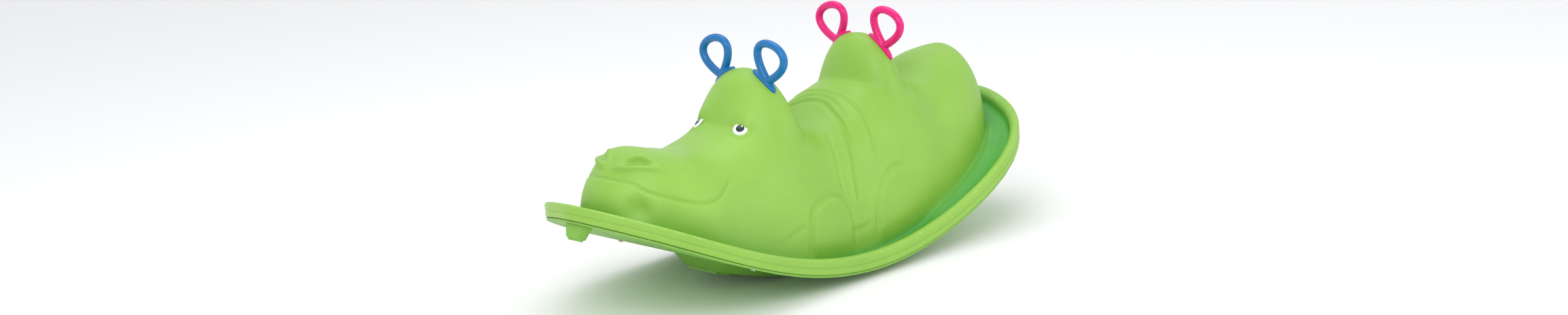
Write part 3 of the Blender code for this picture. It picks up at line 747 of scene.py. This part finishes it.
def zinc_plating():
    material = bpy.data.materials.new("zinc_plating")
    material.use_nodes = True
    tree = material.node_tree
    shader = tree.nodes["Principled BSDF"]
    shader.inputs["Metallic"].default_value = 1.0
    place = tree.nodes.new("ShaderNodeTexCoord").outputs["Object"]
    bloom = tree.nodes.new("ShaderNodeTexNoise")
    bloom.inputs["Scale"].default_value = 260.0
    bloom.inputs["Detail"].default_value = 5.0
    wire(tree, place, bloom.inputs["Vector"])
    tint = tree.nodes.new("ShaderNodeMix")
    tint.data_type = "RGBA"
    tint.inputs["A"].default_value = (*ZINC_DARK, 1)
    tint.inputs["B"].default_value = (*ZINC_LIGHT, 1)
    wire(tree, bloom.outputs["Fac"], tint.inputs["Factor"])
    wire(tree, tint.outputs["Result"], shader.inputs["Base Color"])
    rough = tree.nodes.new("ShaderNodeMapRange")
    rough.inputs["To Min"].default_value = 0.24
    rough.inputs["To Max"].default_value = 0.46
    wire(tree, bloom.outputs["Fac"], rough.inputs["Value"])
    wire(tree, rough.outputs["Result"], shader.inputs["Roughness"])
    return material


zinc = zinc_plating()
for node_name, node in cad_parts.items():
    if "screw" in node_name or "washer" in node_name:
        node.data.materials.clear()
        node.data.materials.append(zinc)


# ---------------------------------------------------------------- ear handles
# Four teardrop loops, blue for the front rider and pink for the rear one. Each is a glossy
# injection moulding that stands on a narrow oval flange, which follows the curve of the dome.
EAR_TUBE_RADIUS = 0.0072
EAR_HEIGHT = 0.071
EAR_HALF_WIDTH = 0.033
EAR_STATIONS = {"front": -0.100, "rear": 0.194}
EAR_OFFSET = 0.058
EAR_SPLAY = math.radians(15)
EAR_LOOP_LOW = 0.003  # how far the loop's middle line stays above the dome at its foot
TEARDROP_WIDEST = 0.77  # about the largest value of sin(angle) * sin(angle / 2)
EAR_STEPS = 72
EAR_SIDES = 24
# The flange that the loop stands on: where its middle is, and its half lengths
FLANGE_OFFSET = 0.049
FLANGE_HALF_WIDTH = 0.025
FLANGE_HALF_DEPTH = 0.0088
FLANGE_THICKNESS = 0.0046
FLANGE_CROWN = 0.0022  # how much higher its middle is than its edge
FLANGE_BEDDING = 0.0016  # how deep its underside lies in the dome
# The flange's rounded edge, in shares of its half lengths: its skirt, its middle and its radius
FLANGE_SKIRT = 1.02
FLANGE_EDGE = 0.92
FLANGE_EDGE_ROUNDING = 0.10
FLANGE_EDGE_START = 0.25
FLANGE_EDGE_STEPS = 6
FLANGE_RINGS = 7
FLANGE_SIDES = 40
EAR_SAME_PLACE = 0.00002
EAR_VOXEL = 0.0008
EAR_SOFTENING = 8
SLOPE_STEP = 0.002


def skin_normal(x, y):
    """Which way the plain body faces at (x, y)."""
    step = SLOPE_STEP
    dx = (body_height(x + step, y) - body_height(x - step, y)) / (2 * step)
    dy = (body_height(x, y + step) - body_height(x, y - step)) / (2 * step)
    return Vector((-dx, -dy, 1)).normalized()


def ear_loop(steps):
    """The loop's middle line in its own plane: a teardrop, widest above half its height."""
    loop = []
    for i in range(steps):
        angle = 2 * math.pi * i / steps
        wide = math.sin(angle) * abs(math.sin(angle / 2)) / TEARDROP_WIDEST
        high = (1 - math.cos(angle)) / 2
        height = EAR_LOOP_LOW + (EAR_HEIGHT - EAR_LOOP_LOW) * high
        loop.append(Vector((EAR_HALF_WIDTH * wide, 0, height)))
    return loop


def tube_mesh(bm, loop, radius, sides):
    """A closed tube round a closed loop that lies in the XZ plane."""
    rings = []
    for before, here, after in zip(loop[-1:] + loop[:-1], loop, loop[1:] + loop[:1]):
        ahead = (after - before).normalized()
        outward = ahead.cross(Vector((0, 1, 0)))
        ring = []
        for i in range(sides):
            angle = 2 * math.pi * i / sides
            spoke = outward * math.cos(angle) + Vector((0, math.sin(angle), 0))
            ring.append(bm.verts.new(here + spoke * radius))
        rings.append(ring)
    for one, two in zip(rings, rings[1:] + rings[:1]):
        for i in range(sides):
            bm.faces.new((one[i], one[i - 1], two[i - 1], two[i]))


def apply_modifiers(obj):
    graph = bpy.context.evaluated_depsgraph_get()
    mesh = bpy.data.meshes.new_from_object(obj.evaluated_get(graph))
    obj.modifiers.clear()
    obj.data = mesh


def flange_mesh(bm, x, y, rings, sides):
    """An oval flange that follows the dome round (x, y): a closed skin with a rounded edge."""
    profile = [(i / rings, -FLANGE_BEDDING) for i in range(rings)]
    profile += [(1.0, -FLANGE_BEDDING), (FLANGE_SKIRT, 0.0)]
    for angle in np.linspace(FLANGE_EDGE_START, math.pi / 2, FLANGE_EDGE_STEPS):
        share = math.cos(angle) * FLANGE_EDGE_ROUNDING + FLANGE_EDGE
        profile.append((share, FLANGE_THICKNESS * math.sin(angle)))
    for i in range(1, rings + 1):
        height = FLANGE_THICKNESS + FLANGE_CROWN * math.sin(math.pi / 2 * i / rings)
        profile.append((FLANGE_EDGE * (1 - i / rings), height))
    loops = []
    for share, height in profile:
        loop = []
        for i in range(sides):
            angle = 2 * math.pi * i / sides
            px = x + FLANGE_HALF_DEPTH * share * math.cos(angle)
            py = y + FLANGE_HALF_WIDTH * share * math.sin(angle)
            skin = Vector((px, py, body_height(px, py)))
            loop.append(bm.verts.new(skin + skin_normal(px, py) * height))
        loops.append(loop)
    for one, two in zip(loops, loops[1:]):
        for i in range(sides):
            bm.faces.new((one[i - 1], one[i], two[i], two[i - 1]))


def build_ear_mesh(name, end):
    """The right ear of one pair in its place: loop and flange melted together with soft fillets."""
    x = EAR_STATIONS[end]
    base = Matrix.Translation((x, EAR_OFFSET, body_height(x, EAR_OFFSET)))
    bm = bmesh.new()
    tube_mesh(bm, ear_loop(EAR_STEPS), EAR_TUBE_RADIUS, EAR_SIDES)
    lean = Matrix.Rotation(-EAR_SPLAY, 4, "X") @ Matrix.Rotation(math.pi / 2, 4, "Z")
    bmesh.ops.transform(bm, matrix=base @ lean, verts=bm.verts)
    flange_mesh(bm, x, FLANGE_OFFSET, FLANGE_RINGS, FLANGE_SIDES)
    bmesh.ops.remove_doubles(bm, verts=bm.verts, dist=EAR_SAME_PLACE)
    bmesh.ops.recalc_face_normals(bm, faces=bm.faces)
    mesh = bpy.data.meshes.new(name)
    bm.to_mesh(mesh)
    bm.free()
    ear = bpy.data.objects.new(name, mesh)
    bpy.context.scene.collection.objects.link(ear)
    melt = ear.modifiers.new("melt", "REMESH")
    melt.mode = "VOXEL"
    melt.voxel_size = EAR_VOXEL
    soften = ear.modifiers.new("soften", "SMOOTH")
    soften.iterations = EAR_SOFTENING
    soften.factor = 0.5
    apply_modifiers(ear)
    finished = ear.data
    bpy.data.objects.remove(ear)
    finished.shade_smooth()
    return finished


BLUE_DARK = (0.0, 0.130, 0.37)
BLUE_LIGHT = (0.0, 0.160, 0.44)
PINK_DARK = (0.74, 0.0, 0.165)
PINK_LIGHT = (0.82, 0.0, 0.205)
HANDLE_GLOSS = {"smoothest": 0.20, "roughest": 0.32, "bump": 0.12, "subsurface": 0.0}
ear_plastics = {
    "front": moulded_plastic("blue_handle_plastic", BLUE_DARK, BLUE_LIGHT, **HANDLE_GLOSS),
    "rear": moulded_plastic("pink_handle_plastic", PINK_DARK, PINK_LIGHT, **HANDLE_GLOSS),
}
for end_name, ear_plastic in ear_plastics.items():
    right_ear = build_ear_mesh("ear_handle_" + end_name, end_name)
    left_ear = right_ear.copy()
    left_ear.transform(Matrix.Diagonal((1, -1, 1, 1)))
    left_ear.flip_normals()
    for side_name, ear_mesh in (("left", left_ear), ("right", right_ear)):
        put_in_scene(f"{end_name}_ear_{side_name}", ear_mesh, ear_plastic, f"{end_name}_handle_plastic",
                     f"{end_name}_ear_handle_{side_name}")


# ---------------------------------------------------------------- eyes
# A white button pressed into a shallow pocket, with a domed blue-black pupil snapped into it and
# a small white highlight moulded on the pupil.
EYE_RISE = 0.0054  # how far the brow's swelling lifts the eye off the plain body
EYE_TILT_FORWARD = 0.32
EYE_TILT_OUT = 0.22
# Heights of the three caps, from the eye's seat: underside, upright rim above it, top of the dome
EYE_LOW = -0.0011
EYE_RIM = 0.0020
EYE_DOME = 0.0034
PUPIL_RADIUS = 0.0076
PUPIL_LOW = EYE_DOME - 0.0016
PUPIL_RIM = 0.0010
PUPIL_DOME = EYE_DOME + 0.0010
GLINT_RADIUS = 0.0018
GLINT_LOW = EYE_DOME - 0.0004
GLINT_RIM = 0.0006
GLINT_DOME = EYE_DOME + 0.0012
GLINT_PLACE = (0.0030, 0.0034)
CAP_CHAMFER = (0.97, 0.3)  # its radius and height, in shares of the cap's radius and rim


def turned_mesh(bm, profile, sides):
    """A solid of revolution round Z from a profile of (radius, height), closed at both ends."""
    rings = []
    for radius, height in profile:
        ring = []
        for i in range(sides):
            angle = 2 * math.pi * i / sides
            ring.append(bm.verts.new((radius * math.cos(angle), radius * math.sin(angle), height)))
        rings.append(ring)
    for one, two in zip(rings, rings[1:]):
        for i in range(sides):
            bm.faces.new((one[i - 1], one[i], two[i], two[i - 1]))
    bm.faces.new(rings[0][::-1])
    bm.faces.new(rings[-1])


def cap_profile(radius, low, rim, top, steps):
    """A button: chamfer, upright rim, then a dome."""
    profile = [(radius * CAP_CHAMFER[0], low), (radius, low + rim * CAP_CHAMFER[1]), (radius, low + rim)]
    for i in range(1, steps):
        angle = math.pi / 2 * i / steps
        profile.append((radius * math.cos(angle), low + rim + (top - low - rim) * math.sin(angle)))
    return profile


def turned_piece(name, profile, sides, place):
    bm = bmesh.new()
    turned_mesh(bm, profile, sides)
    bmesh.ops.transform(bm, matrix=place, verts=bm.verts)
    mesh = bpy.data.meshes.new(name)
    bm.to_mesh(mesh)
    bm.free()
    mesh.shade_smooth()
    return mesh


WHITE_DARK = (0.80, 0.83, 0.84)
WHITE_LIGHT = (0.88, 0.90, 0.90)
PUPIL_DARK = (0.004, 0.012, 0.020)
PUPIL_LIGHT = (0.008, 0.022, 0.035)
eye_white = moulded_plastic("eye_white_plastic", WHITE_DARK, WHITE_LIGHT, smoothest=0.16,
                            roughest=0.26, bump=0.06, subsurface=0.05)
pupil_plastic = moulded_plastic("pupil_plastic", PUPIL_DARK, PUPIL_LIGHT, smoothest=0.10,
                                roughest=0.18, bump=0.05, subsurface=0.0)
for side_name, side_sign in (("left", -1), ("right", 1)):
    y = side_sign * EYE_OFFSET
    outward = skin_normal(EYE_STATION, y)
    middle = Vector((EYE_STATION, y, body_height(EYE_STATION, y))) + outward * EYE_RISE
    outward = (outward + Vector((-EYE_TILT_FORWARD, EYE_TILT_OUT * side_sign, 0))).normalized()
    upward = (Vector((0, 0, 1)) - outward * outward.z).normalized()
    across = upward.cross(outward)
    turn = Matrix((across, upward, outward)).transposed().to_4x4()
    place = Matrix.Translation(middle) @ turn
    white = cap_profile(EYE_RADIUS, EYE_LOW, EYE_RIM, EYE_DOME, 12)
    put_in_scene(f"eye_button_{side_name}", turned_piece("eye_button", white, 48, place), eye_white,
                 "eye_plastic", f"eye_white_{side_name}")
    pupil = cap_profile(PUPIL_RADIUS, PUPIL_LOW, PUPIL_RIM, PUPIL_DOME, 10)
    put_in_scene(f"pupil_{side_name}", turned_piece("pupil", pupil, 40, place), pupil_plastic,
                 "pupil_plastic", f"eye_pupil_{side_name}")
    glint = cap_profile(GLINT_RADIUS, GLINT_LOW, GLINT_RIM, GLINT_DOME, 6)
    glint_place = place @ Matrix.Translation((*GLINT_PLACE, 0))
    put_in_scene(f"pupil_glint_{side_name}", turned_piece("glint", glint, 24, glint_place), eye_white,
                 "eye_plastic", f"eye_pupil_{side_name}")
